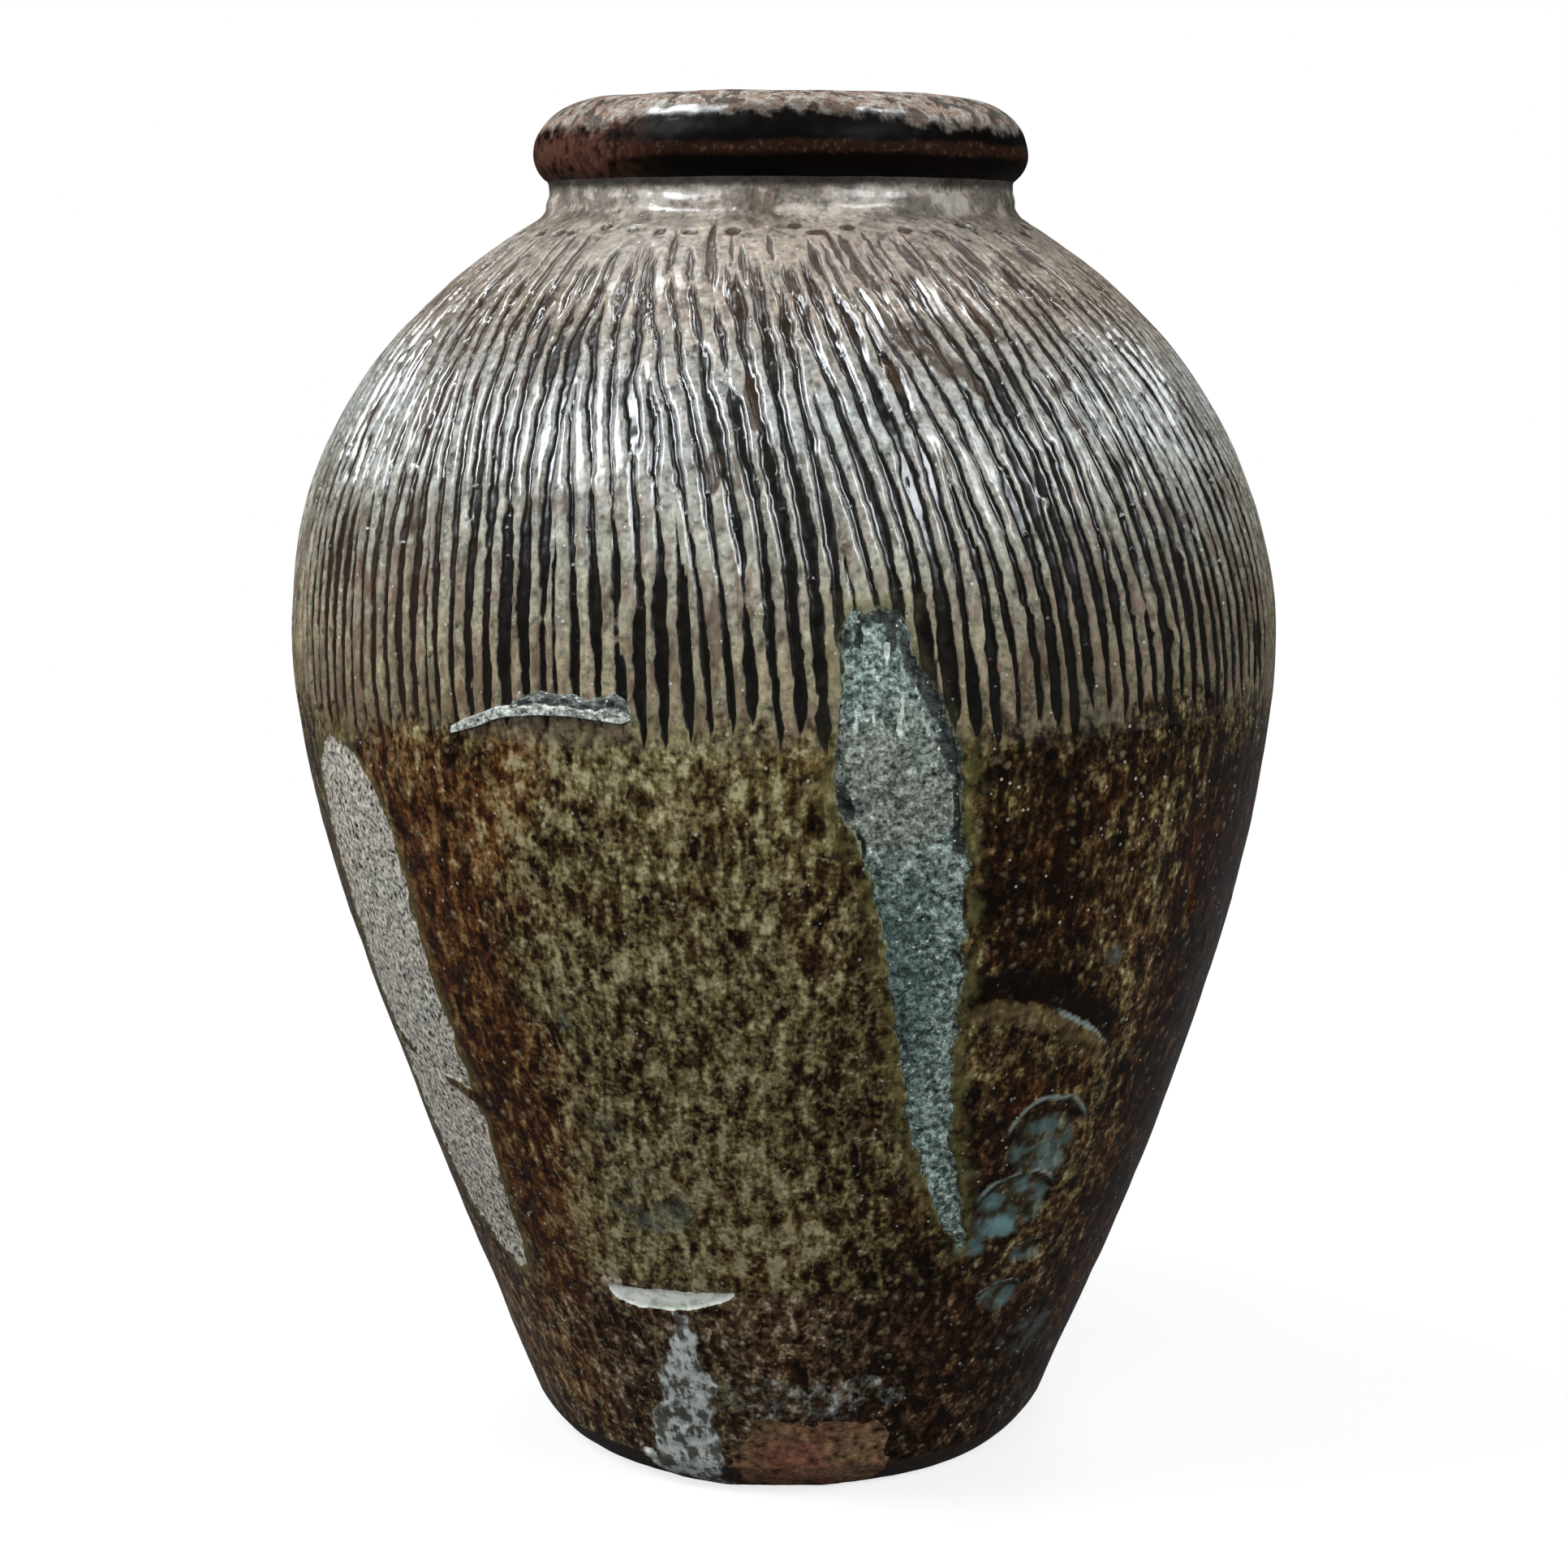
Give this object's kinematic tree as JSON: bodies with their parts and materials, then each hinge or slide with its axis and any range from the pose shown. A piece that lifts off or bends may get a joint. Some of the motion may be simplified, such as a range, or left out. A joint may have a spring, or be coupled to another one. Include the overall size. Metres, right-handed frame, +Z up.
{
  "type": "wine jar",
  "caption": "Egg-shaped stoneware wine jar with combed shoulder, short neck, thick rolled rim and flat base, in brown kiln glaze with bare scars.",
  "frame": {"origin": "centre of the flat underside, where the jar stands", "axes": "+Z up along the jar's axis, -Y the front in the picture, +X to the right seen from the front"},
  "size_m": [0.3234, 0.3234, 0.44],
  "materials": {
    "bare_clay": "matte",
    "foot_glaze": "gloss",
    "speckled_glaze": "gloss",
    "combed_glaze": "gloss",
    "neck_glaze": "satin",
    "rim_glaze": "gloss",
    "kiln_shard": "matte",
    "kiln_grit": "matte"
  },
  "bodies": {
    "root": {"base_slab": "bare_clay", "foot_wall": "foot_glaze", "lower_wall": "speckled_glaze", "combed_shoulder": "combed_glaze", "neck_collar": "neck_glaze", "rolled_rim": "rim_glaze", "kiln_shard": "kiln_shard", "scar_grit": "kiln_grit"}
  },
  "joints": []
}
